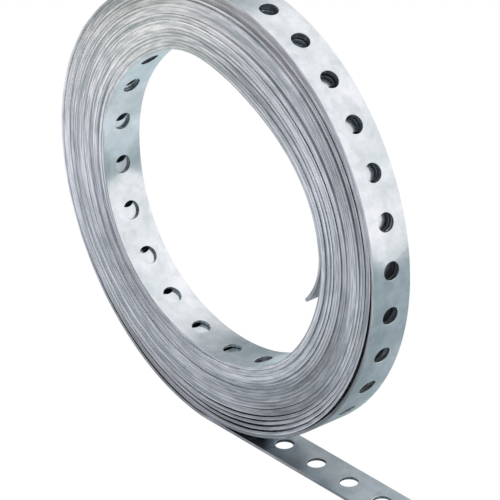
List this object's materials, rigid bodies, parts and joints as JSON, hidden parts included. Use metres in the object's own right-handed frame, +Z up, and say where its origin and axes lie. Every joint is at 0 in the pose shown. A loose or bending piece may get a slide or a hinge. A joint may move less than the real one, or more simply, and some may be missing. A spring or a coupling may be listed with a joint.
{
  "type": "perforated steel strap coil",
  "caption": "Coil of narrow galvanised steel strap punched with a row of round holes, standing on edge with its outer end drawn off flat, for hanging pipes and fixing framing.",
  "frame": {"origin": "on the floor under the roll's axis, at mid-width, where the strap's tail leaves the roll", "axes": "+X along the free tail, +Y along the roll's axis, +Z up"},
  "size_m": [0.3236, 0.0176, 0.1772],
  "materials": {
    "galvanised_steel": "hot-dip galvanised, faint spangle, semi-bright"
  },
  "bodies": {
    "root": {"strap": "galvanised_steel"}
  },
  "joints": []
}
